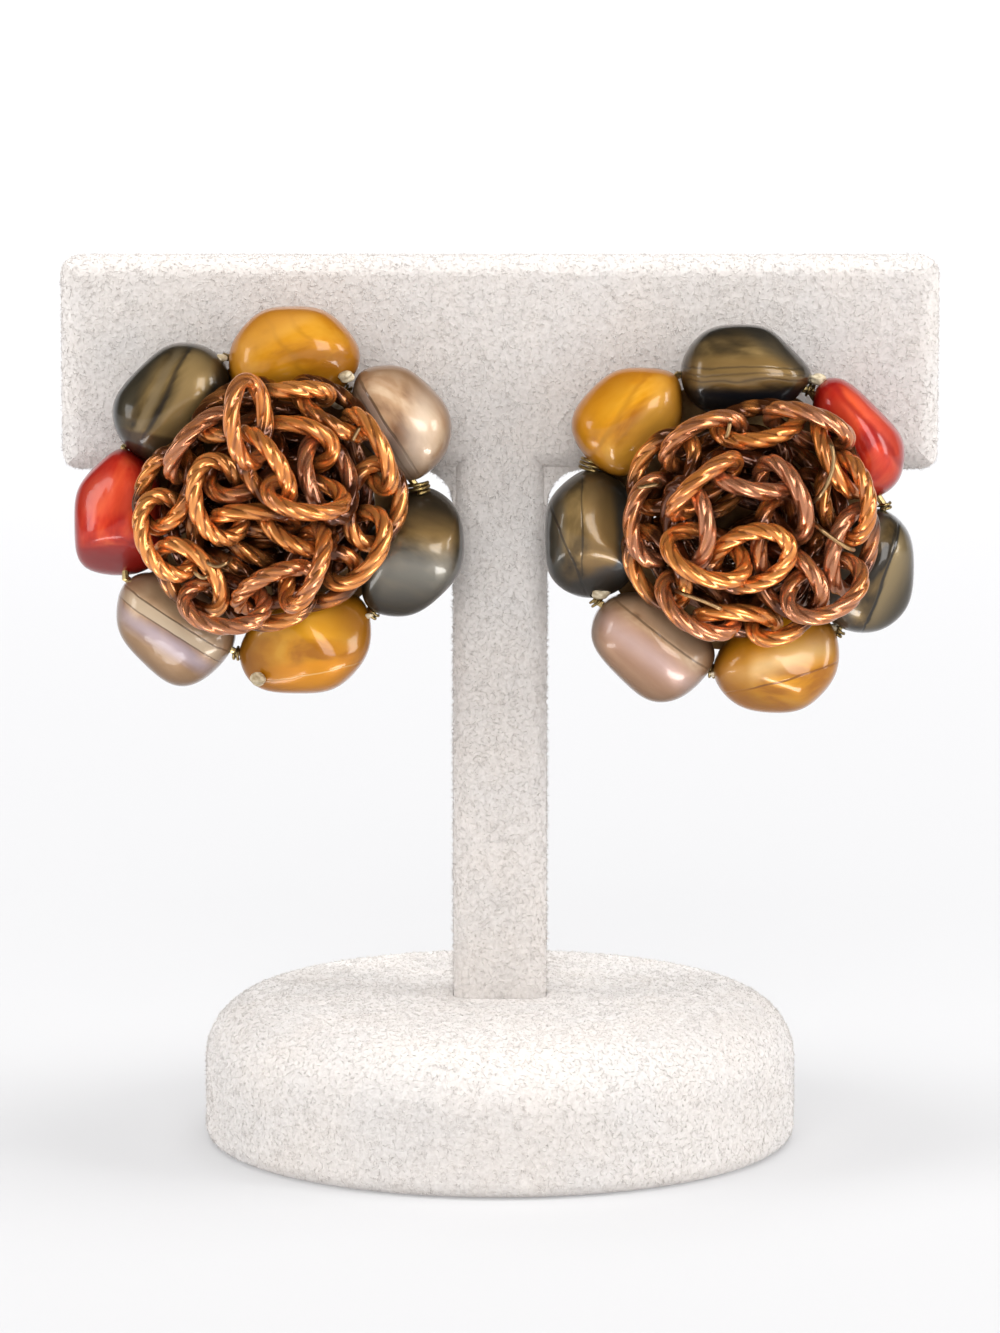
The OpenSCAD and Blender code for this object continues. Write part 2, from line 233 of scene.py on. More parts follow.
def relief(tree, height, strength, deep_mm, under=None, sunk=False):
    """Fine unevenness of a surface, laid over what is under it."""
    bump = plain_node(tree, "ShaderNodeBump", invert=sunk, Strength=strength, Distance=deep_mm * MM,
                      Height=height)
    if under is not None:
        feed(bump.inputs["Normal"], under)
    return bump.outputs["Normal"]


def velvet():
    material, tree = new_material("velvet_flock")
    place = surface_place(tree)
    curls = noise(tree, place, scale=2400, detail=2, distortion=0.6)
    patches = noise(tree, place, scale=120, detail=3, roughness=0.6)
    pile = colour_ramp(tree, curls, (0.3, (0.62, 0.583, 0.554)), (0.68, (0.755, 0.72, 0.69)))
    hues = colour_ramp(tree, patches, (0.35, (0.93, 0.935, 0.95)), (0.65, (1, 0.97, 0.95)))
    tinted = plain_node(tree, "ShaderNodeMix", data_type="RGBA", blend_type="MULTIPLY", Factor=0.5,
                        A=pile, B=hues)
    cloth = plain_node(tree, "ShaderNodeBsdfPrincipled", Base_Color=tinted.outputs["Result"], Roughness=1,
                       Specular_IOR_Level=0.1, Sheen_Weight=0.75, Sheen_Roughness=0.4,
                       Sheen_Tint=(1, 0.97, 0.95, 1), Normal=relief(tree, curls, strength=0.3, deep_mm=0.1))
    plain_node(tree, "ShaderNodeOutputMaterial", Surface=cloth.outputs[0])
    return material


def refinish(node_name, material):
    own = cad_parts[node_name].data.materials
    own.clear()
    own.append(material)


def surface_spots(board, how_many, random):
    """Places spread evenly over a board's faces, with the way that each face looks."""
    no_area = 1e-9
    mesh = board.data
    mesh.calc_loop_triangles()
    points = np.array([v.co for v in mesh.vertices]) / MM
    corners = points[np.array([t.vertices[:] for t in mesh.loop_triangles])]
    normals = np.cross(corners[:, 1] - corners[:, 0], corners[:, 2] - corners[:, 0])
    areas = np.linalg.norm(normals, axis=1)
    keep = areas > no_area
    corners, normals, areas = corners[keep], normals[keep], areas[keep]
    normals = normals / areas[:, None]
    picked = random.choice(len(areas), size=how_many, p=areas / areas.sum())
    a, b = random.random(how_many), random.random(how_many)
    flip = a + b > 1
    a[flip], b[flip] = 1 - a[flip], 1 - b[flip]
    tri = corners[picked]
    spots = tri[:, 0] + a[:, None] * (tri[:, 1] - tri[:, 0]) + b[:, None] * (tri[:, 2] - tri[:, 0])
    return spots, normals[picked]


def flock(board_name, how_many, shown, lean, seed):
    """Fibres of 0.3 to 0.7 mm, each a spike with three sides that leans by about so many degrees."""
    length, width, sunk = 0.55, 0.085, 0.03
    shortest, length_spread = 0.6, 0.6
    lean_spread = 22
    heel_rise = 0.8
    spike_points = 4
    nearly_upright = 0.9
    clear_of_table = 0.05
    random = np.random.default_rng(seed)
    spots, normals = surface_spots(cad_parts[board_name], how_many, random)
    keep = shown(spots)
    spots, normals = spots[keep], normals[keep]
    count = len(spots)
    helper = np.where(np.abs(normals[:, 2:]) < nearly_upright, [[0, 0, 1.0]], [[1.0, 0, 0]])
    side = np.cross(normals, helper)
    side /= np.linalg.norm(side, axis=1)[:, None]
    other = np.cross(normals, side)
    turn = random.random(count) * 2 * math.pi
    tilt = np.radians(lean + lean_spread * (random.random(count) - 0.5) * 2)
    flat = side * np.cos(turn)[:, None] + other * np.sin(turn)[:, None]
    along = normals * np.cos(tilt)[:, None] + flat * np.sin(tilt)[:, None]
    across = np.cross(along, normals)
    across /= np.linalg.norm(across, axis=1)[:, None]
    reach = length * (shortest + length_spread * random.random(count))[:, None]
    root = spots - normals * sunk
    points = np.stack([
        root - across * width / 2,
        root + across * width / 2,
        root + normals * width * heel_rise,
        root + along * reach,
    ], axis=1).reshape(-1, 3)
    points[:, 2] = np.maximum(points[:, 2], clear_of_table)
    first = spike_points * np.arange(count)[:, None]
    faces = np.concatenate([first + corners for corners in ([0, 2, 1], [0, 1, 3], [1, 2, 3], [2, 0, 3])])
    piece = make_mesh(board_name + "_flock", points, faces)
    piece.data.materials.append(velvet_flock)
    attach(piece, "root")


base_top_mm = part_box("stand_base")[1][2] / MM
base_reach_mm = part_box("stand_base")[1][0] / MM


def outside_of_base(spots):
    rim_wide, bare_foot, slack = 8, 0.3, 0.01
    far = np.hypot(spots[:, 0], spots[:, 1])
    on_top = spots[:, 2] > base_top_mm - slack
    on_side = far > base_reach_mm - rim_wide
    return (spots[:, 2] > bare_foot) & (on_top | on_side)


def above_the_base(spots):
    bare_foot = 0.1
    return spots[:, 2] > base_top_mm + bare_foot


velvet_flock = velvet()
refinish("stand_base", velvet_flock)
refinish("stand_t_board", velvet_flock)
flock("stand_base", how_many=60000, shown=outside_of_base, lean=74, seed=11)
flock("stand_t_board", how_many=50000, shown=above_the_base, lean=62, seed=12)


# Clip backs
# Each earring is built up on a round brass plate pierced with holes for the stitching wire. A brass strip
# soldered under it runs below the crossbar to a round paddle at the back, and the metal has dulled to a
# brownish gold.
def old_brass(name, bright, dark, roughness):
    stained_rougher = 0.2
    material, tree = new_material(name)
    place = surface_place(tree)
    stains = noise(tree, place, scale=260, detail=6, roughness=0.7)
    scratches = noise(tree, place, scale=3000, detail=2)
    metal = plain_node(tree, "ShaderNodeBsdfPrincipled", Metallic=1,
                       Base_Color=colour_ramp(tree, stains, (0.3, dark), (0.7, bright)),
                       Roughness=rescaled(tree, stains, 0, 1, roughness + stained_rougher, roughness),
                       Normal=relief(tree, scratches, strength=0.15, deep_mm=0.05))
    plain_node(tree, "ShaderNodeOutputMaterial", Surface=metal.outputs[0])
    return material


plate_brass = old_brass("plate_brass", bright=(0.40, 0.27, 0.12), dark=(0.13, 0.07, 0.03), roughness=0.34)
refinish("left_clip_back", plate_brass)
refinish("right_clip_back", plate_brass)


# Pebble beads
# Seven moulded resin pebbles round each earring, in mustard, taupe, olive and red. They are drilled through
# for the ring wire and polished, and the layers of resin show in them as bands and fine mould lines.

# In mm, half the thickness of a bead, and how far its middle is in front of the plate.
half_thick = 4.7
bead_lift = 5

# Columns: colour, place from the middle of the plate, reach of the outline at each eighth of a turn, and the
# flats. A flat has the way it looks and its tilt, in degrees, and how far it is from the bead's middle.
PEBBLES = {
    "left": [
        ("mustard", (3, 15), (6.75, 5.25, 4.5, 5.5, 6.75, 7.25, 5, 6), ((300, 40, 4.6), (110, 35, 4.9))),
        ("taupe", (13.5, 8), (5, 4.5, 5.75, 7, 5, 4.25, 6.25, 5.5), ((250, 35, 4.5), (60, 40, 4.6))),
        ("olive", (14.5, -5), (5.25, 6.5, 7, 4.75, 5.25, 7.5, 6.5, 5), ((270, 30, 4.3), (80, 40, 4.7))),
        ("mustard", (4, -14), (6.5, 7.5, 5.25, 5.25, 7, 7, 5, 5.5), ((200, 25, 4.3), (40, 35, 4.7))),
        ("taupe", (-9, -12.5), (6.25, 4.75, 5.75, 7.25, 6, 4.75, 6, 5.75), ((230, 30, 4.4), (50, 35, 4.6))),
        ("red", (-14.5, -1), (4.25, 5.5, 7.25, 5, 4.5, 7, 6.75, 6.25), ((150, 30, 4.2), (265, 50, 4.6))),
        ("olive", (-9.5, 10), (6.25, 7, 6, 4.5, 5.75, 6.25, 6.25, 4.25), ((130, 30, 4.4), (300, 45, 4.7))),
    ],
    "right": [
        ("olive", (1.5, 15), (7.75, 4.5, 4.5, 6, 7, 6.5, 4.5, 5.25), ((90, 35, 4.4), (270, 45, 4.6))),
        ("red", (12.5, 8), (4.5, 3.5, 6.5, 7.75, 4.75, 4.25, 6, 5.75), ((200, 30, 4.3), (20, 45, 4.7))),
        ("olive", (13, -5), (5, 6.25, 6.75, 4.25, 4.75, 6, 6.25, 6), ((150, 30, 4.4), (330, 40, 4.5))),
        ("mustard", (4.5, -14), (6.25, 6.75, 5.25, 5, 6.75, 6.25, 5.25, 5.5),
         ((60, 25, 4.4), (250, 45, 4.6))),
        ("taupe", (-8, -12.5), (6.75, 4.75, 5.5, 6.75, 6.25, 4.5, 5.75, 6), ((240, 30, 4.4), (40, 40, 4.7))),
        ("olive", (-14, -1.5), (4.5, 6, 7, 5.75, 4.75, 6, 6.5, 6), ((40, 30, 4.4), (270, 40, 4.4))),
        ("mustard", (-10.5, 10), (5.5, 7.25, 5.25, 4.75, 5.75, 5.5, 5.75, 4.5),
         ((300, 30, 4.3), (120, 40, 4.6))),
    ],
}


def earring_middle(side):
    """The middle of the front of the back plate, in mm."""
    low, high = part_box(side + "_clip_back")
    half = (high[0] - low[0]) / 2
    return np.array([(low[0] + high[0]) / 2, low[1], low[2] + half]) / MM


def on_earring(middle, x, z, lift):
    """The point at x to the right of and z above the plate's middle, and lift in front of its face."""
    return np.array([middle[0] + x, middle[1] - lift, middle[2] + z])


def pebble_size(reach, flats, v):
    """One over the bead's radius along each direction v, whose third column is towards the front.

    A higher power gives a sharper edge where two sides of the bead meet.
    """
    outline_power, side_power, flat_power = 8, 2.5, 12
    outline = 0
    for k, far in enumerate(reach):
        turn = 2 * math.pi * k / len(reach)
        toward = np.maximum(0, v[:, 0] * math.cos(turn) + v[:, 1] * math.sin(turn))
        outline = outline + (toward / far) ** outline_power
    outline = outline ** (1 / outline_power)
    body = (outline ** side_power + (np.abs(v[:, 2]) / half_thick) ** side_power) ** (1 / side_power)
    total = body ** flat_power
    for looks, tilt, far in flats:
        a, t = math.radians(looks), math.radians(tilt)
        facing = np.array([math.sin(t) * math.cos(a), math.sin(t) * math.sin(a), math.cos(t)])
        total = total + (np.maximum(0, v @ facing) / far) ** flat_power
    return total ** (1 / flat_power)


def ball_grid(cuts):
    """An even net of triangles on a ball with a radius of one."""
    grid = bmesh.new()
    bmesh.ops.create_icosphere(grid, subdivisions=cuts, radius=1)
    points = np.array([v.co for v in grid.verts])
    grid.verts.ensure_lookup_table()
    faces = [[v.index for v in f.verts] for f in grid.faces]
    grid.free()
    return points, faces


bead_cuts = 5
ball_points, ball_faces = ball_grid(bead_cuts)


def pebble(side, number, row):
    colour, spot, reach, flats = row
    v = np.column_stack([ball_points[:, 0], ball_points[:, 2], -ball_points[:, 1]])
    size = pebble_size(reach, flats, v)
    heart = on_earring(earring_middle(side), *spot, bead_lift)
    piece = make_mesh(f"{side}_pebble_{number}", heart + ball_points / size[:, None], ball_faces)
    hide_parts(f"{side}_bead_{number}")
    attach(piece, "root")
    return piece, heart


# The marbling of each resin from deep to pale, the painted shade at the bead's sides and back, and how pearly
# it is.
RESIN = {
    "mustard": dict(deep=(0.40, 0.14, 0.004), mid=(0.63, 0.262, 0.008), pale=(0.73, 0.36, 0.03),
                    painted_rim_shade=(0.29, 0.10, 0.003), pearl=0.08),
    "taupe": dict(deep=(0.26, 0.14, 0.075), mid=(0.50, 0.31, 0.175), pale=(0.70, 0.51, 0.34),
                  painted_rim_shade=(0.17, 0.095, 0.05), pearl=0.1),
    "olive": dict(deep=(0.022, 0.016, 0.009), mid=(0.13, 0.082, 0.030), pale=(0.31, 0.20, 0.075),
                  painted_rim_shade=(0.012, 0.010, 0.007), pearl=0.3),
    "red": dict(deep=(0.36, 0.010, 0.006), mid=(0.60, 0.042, 0.015), pale=(0.78, 0.11, 0.035),
                painted_rim_shade=(0.22, 0.004, 0.003), pearl=0.08),
}

# For each bead in turn, the way its grain runs, in degrees, and its colour bands: darker and paler patches,
# mostly where layers of the resin meet, and on three beads a band of painted pearly sheen. Columns of a band:
# the way it faces, in degrees from the side, how far it is from the middle that way, half its width, how soft
# its edges are, how much it wanders, its colour and its strength. Those narrower than mould_line_half are
# mould lines and stand in a slight groove.
BROWN = (0.07, 0.04, 0.025)
BLACK = (0.012, 0.012, 0.014)
BRONZE = (0.28, 0.168, 0.06)
mould_line_half = 0.2
BANDS = {
    "left": [
        (20, [(0, 0, 7, 1, 0.5, (0.50, 0.21, 0.014), 0.35),
              (-90, 5.5, 3.8, 1.6, 1, (0.42, 0.17, 0.012), 0.5),
              (34, -0.4, 0.25, 0.5, 1.2, (0.42, 0.17, 0.01), 0.6),
              (40, 2.2, 0.22, 0.4, 1.4, (0.44, 0.18, 0.01), 0.5),
              (125, 3.8, 1.6, 1.2, 1, (0.64, 0.33, 0.07), 0.5)]),
        (-60, [(212, 4, 2.8, 0.3, 0.3, (0.30, 0.23, 0.20), 0.6),
               (32, -1.2, 0.13, 0.1, 0.3, BROWN, 0.75),
               (32, -2.1, 0.1, 0.1, 0.3, BROWN, 0.6),
               (-15, 1.8, 1.3, 3, 0.6, (0.78, 0.64, 0.50), 0.6)]),
        (-20, [(75, 4.2, 1.8, 2.2, 1, BRONZE, 0.6),
               (-100, 2.6, 3.4, 3, 1.6, (0.27, 0.255, 0.215), 0.75),
               (180, 4.8, 1.3, 1.6, 0.6, (0.05, 0.045, 0.03), 0.8)]),
        (10, [(90, 3.5, 2.5, 0.8, 0.8, (0.82, 0.38, 0.016), 0.75),
              (-80, 4, 2.6, 0.8, 0.6, (0.70, 0.26, 0.004), 0.85),
              (101, -2.75, 0.07, 0.08, 0.3, (0.80, 0.52, 0.20), 0.6)]),
        (-33, [(57, -4.6, 2.1, 1.4, 0.8, (0.42, 0.25, 0.12), 0.8),
               # Painted sheen: the lavender band just below the mould lines.
               (57, -1.4, 0.8, 1.4, 0.8, (0.48, 0.40, 0.46), 0.7),
               (57, 0.5, 0.6, 0.12, 0.25, (0.58, 0.45, 0.31), 0.9),
               (57, 1.12, 0.09, 0.08, 0.25, BROWN, 0.75),
               (57, -0.12, 0.08, 0.08, 0.25, BROWN, 0.6),
               (57, 3.6, 2.2, 0.8, 0.6, (0.30, 0.20, 0.115), 0.7)]),
        (80, [(-85, 6, 3.1, 0.5, 0.5, (0.40, 0.009, 0.006), 0.9),
              (80, 2, 2, 1.5, 1, (0.68, 0.09, 0.03), 0.4)]),
        (60, [(-27, 5, 1.9, 1, 0.8, (0.022, 0.018, 0.012), 0.9),
              (-27, 1.2, 1.3, 1.4, 0.8, (0.35, 0.23, 0.09), 0.85),
              (-27, -0.5, 0.2, 0.35, 0.7, BLACK, 0.7),
              (-27, -1.4, 0.4, 0.6, 0.8, (0.26, 0.19, 0.10), 0.7),
              (153, 4.6, 1.8, 1.6, 0.8, (0.05, 0.045, 0.03), 0.8),
              (-100, 4.6, 1.5, 0.6, 0.6, (0.03, 0.012, 0.012), 0.7)]),
    ],
    "right": [
        (0, [(-90, 4.2, 2.6, 1.0, 0.7, (0.012, 0.013, 0.018), 0.95),
             (90, 0.1, 1.5, 1.0, 0.7, (0.24, 0.142, 0.045), 0.8),
             (55, 5, 2.2, 1.6, 0.8, (0.04, 0.038, 0.032), 0.8),
             (90, 0.45, 0.1, 0.25, 0.8, BLACK, 0.5),
             (90, -0.3, 0.1, 0.25, 0.8, BLACK, 0.4),
             (90, -0.9, 0.1, 0.25, 0.8, BLACK, 0.5)]),
        (60, [(30, 3.4, 1.8, 0.6, 0.6, (0.66, 0.10, 0.05), 0.6),
              (40, 1.6, 0.3, 0.5, 0.6, (0.26, 0.008, 0.006), 0.7),
              (200, 3, 2.5, 1, 0.8, (0.44, 0.016, 0.010), 0.6)]),
        (72, [(-18, 3.6, 1.9, 0.8, 0.4, (0.33, 0.24, 0.115), 0.85),
              (-18, 1.6, 0.14, 0.16, 0.6, BLACK, 0.85),
              (162, 3, 3, 1.4, 1, (0.12, 0.11, 0.095), 0.7)]),
        # Painted sheen: the first band of this bead, pale across its middle.
        (16, [(108, 0.5, 1, 2.6, 0.8, (0.92, 0.68, 0.34), 0.6),
              (106, -1.5, 0.1, 0.08, 0.25, (0.20, 0.07, 0.01), 0.85),
              (180, 4.6, 1.8, 1.6, 0.8, (0.50, 0.20, 0.01), 0.7)]),
        (-37, [(53, -2.6, 3.6, 1.2, 0.5, (0.52, 0.29, 0.185), 0.7),
               # Painted sheen: the pale pink band below the mould line.
               (53, -0.6, 0.9, 2.4, 0.5, (0.64, 0.47, 0.46), 0.55),
               (53, 1.7, 0.1, 0.12, 0.25, BROWN, 0.6),
               (53, 4, 2, 0.5, 0.5, (0.48, 0.31, 0.19), 0.7)]),
        (90, [(0, 0.7, 1.5, 1.2, 1.2, BRONZE, 0.8),
              (180, 5.3, 2.4, 1.0, 0.6, (0.07, 0.065, 0.05), 0.8),
              (0, 3.4, 1.2, 1.2, 1.6, (0.09, 0.09, 0.085), 0.7),
              (0, -1, 0.09, 0.1, 0.3, BLACK, 0.5),
              (22, -2.55, 0.12, 0.1, 0.4, BLACK, 0.6),
              (-60, 4.6, 1.5, 1, 1, (0.06, 0.07, 0.08), 0.8)]),
        (56, [(-34, 2.6, 2.4, 1.2, 0.8, (0.70, 0.37, 0.06), 0.6),
              (-34, -1.1, 0.25, 0.5, 0.9, (0.42, 0.17, 0.012), 0.6),
              (146, 4.2, 2.2, 1, 0.8, (0.52, 0.22, 0.01), 0.6)]),
    ],
}


def blended(tree, share, colour, other):
    mix = plain_node(tree, "ShaderNodeMix", data_type="RGBA", Factor=share, A=colour, B=(*other, 1))
    return mix.outputs["Result"]


def band_cover(tree, local, swirl, facing, offset, half, soft, wander, strength):
    """How strongly a band covers each point of the bead. Its edges waver with the swirls in the resin."""
    turn = math.radians(facing)
    across = plain_node(tree, "ShaderNodeVectorMath", operation="DOT_PRODUCT")
    feed(across.inputs[0], local)
    feed(across.inputs[1], (math.cos(turn), 0, math.sin(turn)))
    waver = worked_out(tree, "MULTIPLY_ADD", swirl, 2 * wander, -wander - offset)
    away = worked_out(tree, "ABSOLUTE", worked_out(tree, "ADD", across.outputs["Value"], waver))
    return rescaled(tree, away, half + soft / 2, half - soft / 2, 0, strength, "SMOOTHSTEP")


def polished_resin(name, colour, heart, grain, bands):
    shade = RESIN[colour]
    stretch = (4, 1, 1.2)
    streak_share = 0.22
    clear_front, rim_shade_full_at, rim_shade_share = half_thick - 0.1, 1.6, 0.9
    material, tree = new_material(name)
    local = plain_node(tree, "ShaderNodeMapping", vector_type="TEXTURE", Vector=surface_place(tree),
                       Location=heart * MM, Scale=(MM, MM, MM)).outputs["Vector"]
    drawn = plain_node(tree, "ShaderNodeMapping", vector_type="TEXTURE", Vector=local,
                       Rotation=(0, -math.radians(grain), 0), Scale=stretch).outputs["Vector"]
    swirl = noise(tree, drawn, scale=0.3, detail=3, roughness=0.45, distortion=1.1)
    streaks = noise(tree, drawn, scale=1.3, detail=3, roughness=0.55, distortion=0.4)
    marbled = worked_out(tree, "MULTIPLY_ADD", streaks, streak_share, swirl)
    paint = colour_ramp(tree, marbled, (0.46, shade["deep"]), (0.77, shade["pale"]), (0.61, shade["mid"]))
    normal = None
    for facing, offset, half, soft, wander, tone, strength in bands:
        cover = band_cover(tree, local, swirl, facing, offset, half, soft, wander, strength)
        paint = blended(tree, cover, paint, tone)
        if half < mould_line_half:
            normal = relief(tree, cover, strength=0.5, deep_mm=0.05, under=normal, sunk=True)
    # Painted shade: the colour darkens towards the bead's sides and back, to the dark rim colour.
    behind = plain_node(tree, "ShaderNodeSeparateXYZ", Vector=local).outputs["Y"]
    dark = rescaled(tree, behind, -clear_front, -rim_shade_full_at, 0, rim_shade_share, "SMOOTHSTEP")
    waves = noise(tree, local, scale=0.45, detail=1.5)
    normal = relief(tree, waves, strength=0.22, deep_mm=0.3, under=normal)
    resin = plain_node(tree, "ShaderNodeBsdfPrincipled", Base_Color=blended(tree, dark, paint, shade["painted_rim_shade"]),
                       Metallic=shade["pearl"], Roughness=0.33, IOR=1.45, Specular_IOR_Level=0.2,
                       Coat_Weight=0.9, Coat_Roughness=0.09, Coat_IOR=1.35, Normal=normal, Coat_Normal=normal)
    plain_node(tree, "ShaderNodeOutputMaterial", Surface=resin.outputs[0])
    return material


for side, rows in PEBBLES.items():
    for number, row in enumerate(rows, start=1):
        piece, heart = pebble(side, number, row)
        grain, bands = BANDS[side][number - 1]
        piece.data.materials.append(polished_resin(piece.name + "_resin", row[0], heart, grain, bands))


# Chain
# The middle of each earring is a length of chain bunched up and stitched down. Its oval links are bent from
# square copper wire twisted as it was drawn, and lacquered. It is dark in the grooves, has painted shade deep
# in the bunch, and is browner on the links that stand in front.
link_stations, link_sides = 84, 28


def link_rings(side):
    """The middle line of each link of the solid chain, read round the link."""
    solid_sides, weld = 5, 0.002
    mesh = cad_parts[side + "_chain"].data
    points = np.array([v.co for v in mesh.vertices]) / MM
    edges = np.array([e.vertices[:] for e in mesh.edges])
    keys, back = np.unique(np.round(points / weld).astype(int), axis=0, return_inverse=True)
    back = back.reshape(-1)
    welded = np.zeros((len(keys), 3))
    welded[back] = points
    label = np.arange(len(keys))
    ends = back[edges]
    # Each point takes the lowest label beside it, until all the points of one link have the same.
    while True:
        low = np.minimum(label[ends[:, 0]], label[ends[:, 1]])
        new = label.copy()
        np.minimum.at(new, ends[:, 0], low)
        np.minimum.at(new, ends[:, 1], low)
        if (new == label).all():
            break
        label = new
    rings = []
    for name in np.unique(label):
        own = welded[label == name]
        centre = own.mean(axis=0)
        _, _, axes = np.linalg.svd(own - centre)
        turn = np.arctan2((own - centre) @ axes[1], (own - centre) @ axes[0])
        order = np.argsort(turn)
        gaps = np.diff(np.append(turn[order], turn[order[0]] + 2 * math.pi))
        order = np.roll(order, -(np.argmax(gaps) + 1))
        rings.append(own[order].reshape(-1, solid_sides, 3).mean(axis=1))
    return rings


def smooth_ring(ring, stations):
    """The same ring as a smooth curve with more points."""
    waves = np.fft.rfft(ring, axis=0)
    return np.fft.irfft(waves, n=stations, axis=0) * (stations / len(ring))


def twisted_link(path, random):
    """The skin of one link, how deep in a groove each point is, and its place across and along the wire."""
    groove_deep, groove_power, edge_radius = 0.19, 2.2, 0.85
    wire_corners = 4
    uneven = 0.02
    loop_grain, own_grain = 1.2, 5
    turns_each = random.choice((2, 2, 3))
    stations = len(path)
    _, _, axes = np.linalg.svd(path - path.mean(axis=0))
    ahead = np.roll(path, -1, axis=0) - np.roll(path, 1, axis=0)
    ahead /= np.linalg.norm(ahead, axis=1)[:, None]
    out = np.cross(axes[2], ahead)
    out /= np.linalg.norm(out, axis=1)[:, None]
    up = np.cross(ahead, out)
    turn = np.linspace(0, 2 * math.pi, link_sides, endpoint=False)
    start = random.random() * 2 * math.pi
    round_link = 2 * math.pi * np.arange(stations) / stations
    local = turn[None, :] - start - turns_each * round_link[:, None]
    hollow = ((1 - np.cos(wire_corners * local)) / 2) ** groove_power
    radius = edge_radius * (1 - groove_deep * hollow) * (1 + uneven * np.sin(local + start))
    points = path[:, None] + radius[..., None] * (
        out[:, None] * np.cos(turn)[None, :, None] + up[:, None] * np.sin(turn)[None, :, None])
    round_skin = np.broadcast_to(round_link[:, None], local.shape)
    far_round = loop_grain * np.cos(round_skin)
    grain = np.stack([np.cos(local), np.sin(local), far_round + own_grain * start], axis=-1)
    along = loop_grain * np.sin(round_skin)
    return points.reshape(-1, 3), hollow.reshape(-1), grain.reshape(-1, 3), along.reshape(-1)


def tube_faces(first, stations, around):
    k, m = np.meshgrid(np.arange(stations), np.arange(around), indexing="ij")
    here = first + k * around + m
    beside = first + k * around + (m + 1) % around
    over = first + (k + 1) % stations * around + (m + 1) % around
    ahead = first + (k + 1) % stations * around + m
    return np.stack([here, beside, over, ahead], axis=-1).reshape(-1, 4)


def shade_from_wires_in_front(points, wires):
    """How far each point lies under other wires in front of it, which sets the painted shade deep in the
    bunch.
    """
    clear_in_front, shade_reach = 1.1, 1.3
    total = np.zeros(len(points))
    for wire in wires:
        sideways = (points[:, None, 0] - wire[None, :, 0]) ** 2 + (points[:, None, 2] - wire[None, :, 2]) ** 2
        in_front = points[:, None, 1] - wire[None, :, 1] > clear_in_front
        total += (np.exp(-sideways / shade_reach ** 2) * in_front).sum(axis=1)
    return total


def painted_on(tree, label):
    return plain_node(tree, "ShaderNodeAttribute", attribute_name=label).outputs


def copper():
    stain_share, streak_share = 0.6, 0.8
    clean_streak, dirty_streak = 0.35, 0.6
    least_grime, most_grime = 0.4, 0.95
    groove_lip, groove_floor = 0.5, 1
    shade_begins, shade_full, darkest_painted_shade = 0.2, 2.2, 0.93
    material, tree = new_material("twisted_copper")
    drawn = plain_node(tree, "ShaderNodeTexNoise", noise_dimensions="4D", Scale=2.2, Detail=3,
                       Roughness=0.6, Vector=painted_on(tree, "grain")["Vector"],
                       W=painted_on(tree, "along")["Fac"])
    streaks = drawn.outputs["Fac"]
    stains = noise(tree, surface_place(tree), scale=300, detail=3, roughness=0.6, distortion=0.6)
    brown = worked_out(tree, "MULTIPLY_ADD", stains, stain_share, painted_on(tree, "handled")["Fac"])
    worn = worked_out(tree, "MULTIPLY_ADD", streaks, streak_share, brown)
    paint = colour_ramp(tree, worn, (0.45, (0.86, 0.36, 0.105)), (1, (0.50, 0.215, 0.115)),
                        (0.68, (0.72, 0.26, 0.055)))
    patchy = rescaled(tree, streaks, clean_streak, dirty_streak, least_grime, most_grime)
    grime = rescaled(tree, painted_on(tree, "hollow")["Fac"], groove_lip, groove_floor, 0, patchy)
    paint = blended(tree, grime, paint, (0.20, 0.052, 0.012))
    # Painted shade deep in the bunch: nearly black where other wires lie in front.
    painted_depth_shade = painted_on(tree, "painted_depth_shade")["Fac"]
    deep = rescaled(tree, painted_depth_shade, shade_begins, shade_full, 0, darkest_painted_shade)
    paint = blended(tree, deep, paint, (0.05, 0.010, 0.001))
    metal = plain_node(tree, "ShaderNodeBsdfPrincipled", Base_Color=paint, Metallic=0.72, Roughness=0.26,
                       Coat_Weight=0.5, Coat_Roughness=0.1, Coat_Tint=(1, 0.86, 0.68, 1),
                       Normal=relief(tree, streaks, strength=0.08, deep_mm=0.05))
    plain_node(tree, "ShaderNodeOutputMaterial", Surface=metal.outputs[0])
    return material


def twisted_chain(side, paths, seed):
    """All the links of one chain. Handled is how brown a link has turned, more so farther forward."""
    middling_lift, browner_each_mm, link_spread = 14, 0.025, 0.6
    wire_step = 3
    random = np.random.default_rng(seed)
    middle = earring_middle(side)
    points, faces = [], []
    paint = {"hollow": [], "painted_depth_shade": [], "handled": [], "along": [], "grain": []}
    for number, path in enumerate(paths):
        skin, hollow, grain, along = twisted_link(path, random)
        others = [wire[::wire_step] for k, wire in enumerate(paths) if k != number]
        faces.append(tube_faces(len(points) * link_stations * link_sides, link_stations, link_sides))
        points.append(skin)
        lift = middle[1] - skin[:, 1]
        own_brown = link_spread * (random.random() - 0.5)
        paint["hollow"].append(hollow)
        # Painted shade: how deep each link lies under the wires in front of it.
        paint["painted_depth_shade"].append(np.repeat(shade_from_wires_in_front(path, others), link_sides))
        paint["handled"].append(browner_each_mm * (lift - middling_lift) + own_brown)
        paint["along"].append(along)
        paint["grain"].append(grain)
    piece = make_mesh(f"{side}_twisted_chain", np.concatenate(points), np.concatenate(faces))
    for label, values in paint.items():
        kind, column = ("FLOAT_VECTOR", "vector") if label == "grain" else ("FLOAT", "value")
        layer = piece.data.attributes.new(label, kind, "POINT")
        layer.data.foreach_set(column, np.concatenate(values).astype(np.float32).ravel())
    piece.data.materials.append(twisted_copper)
    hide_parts(side + "_chain")
    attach(piece, "root")


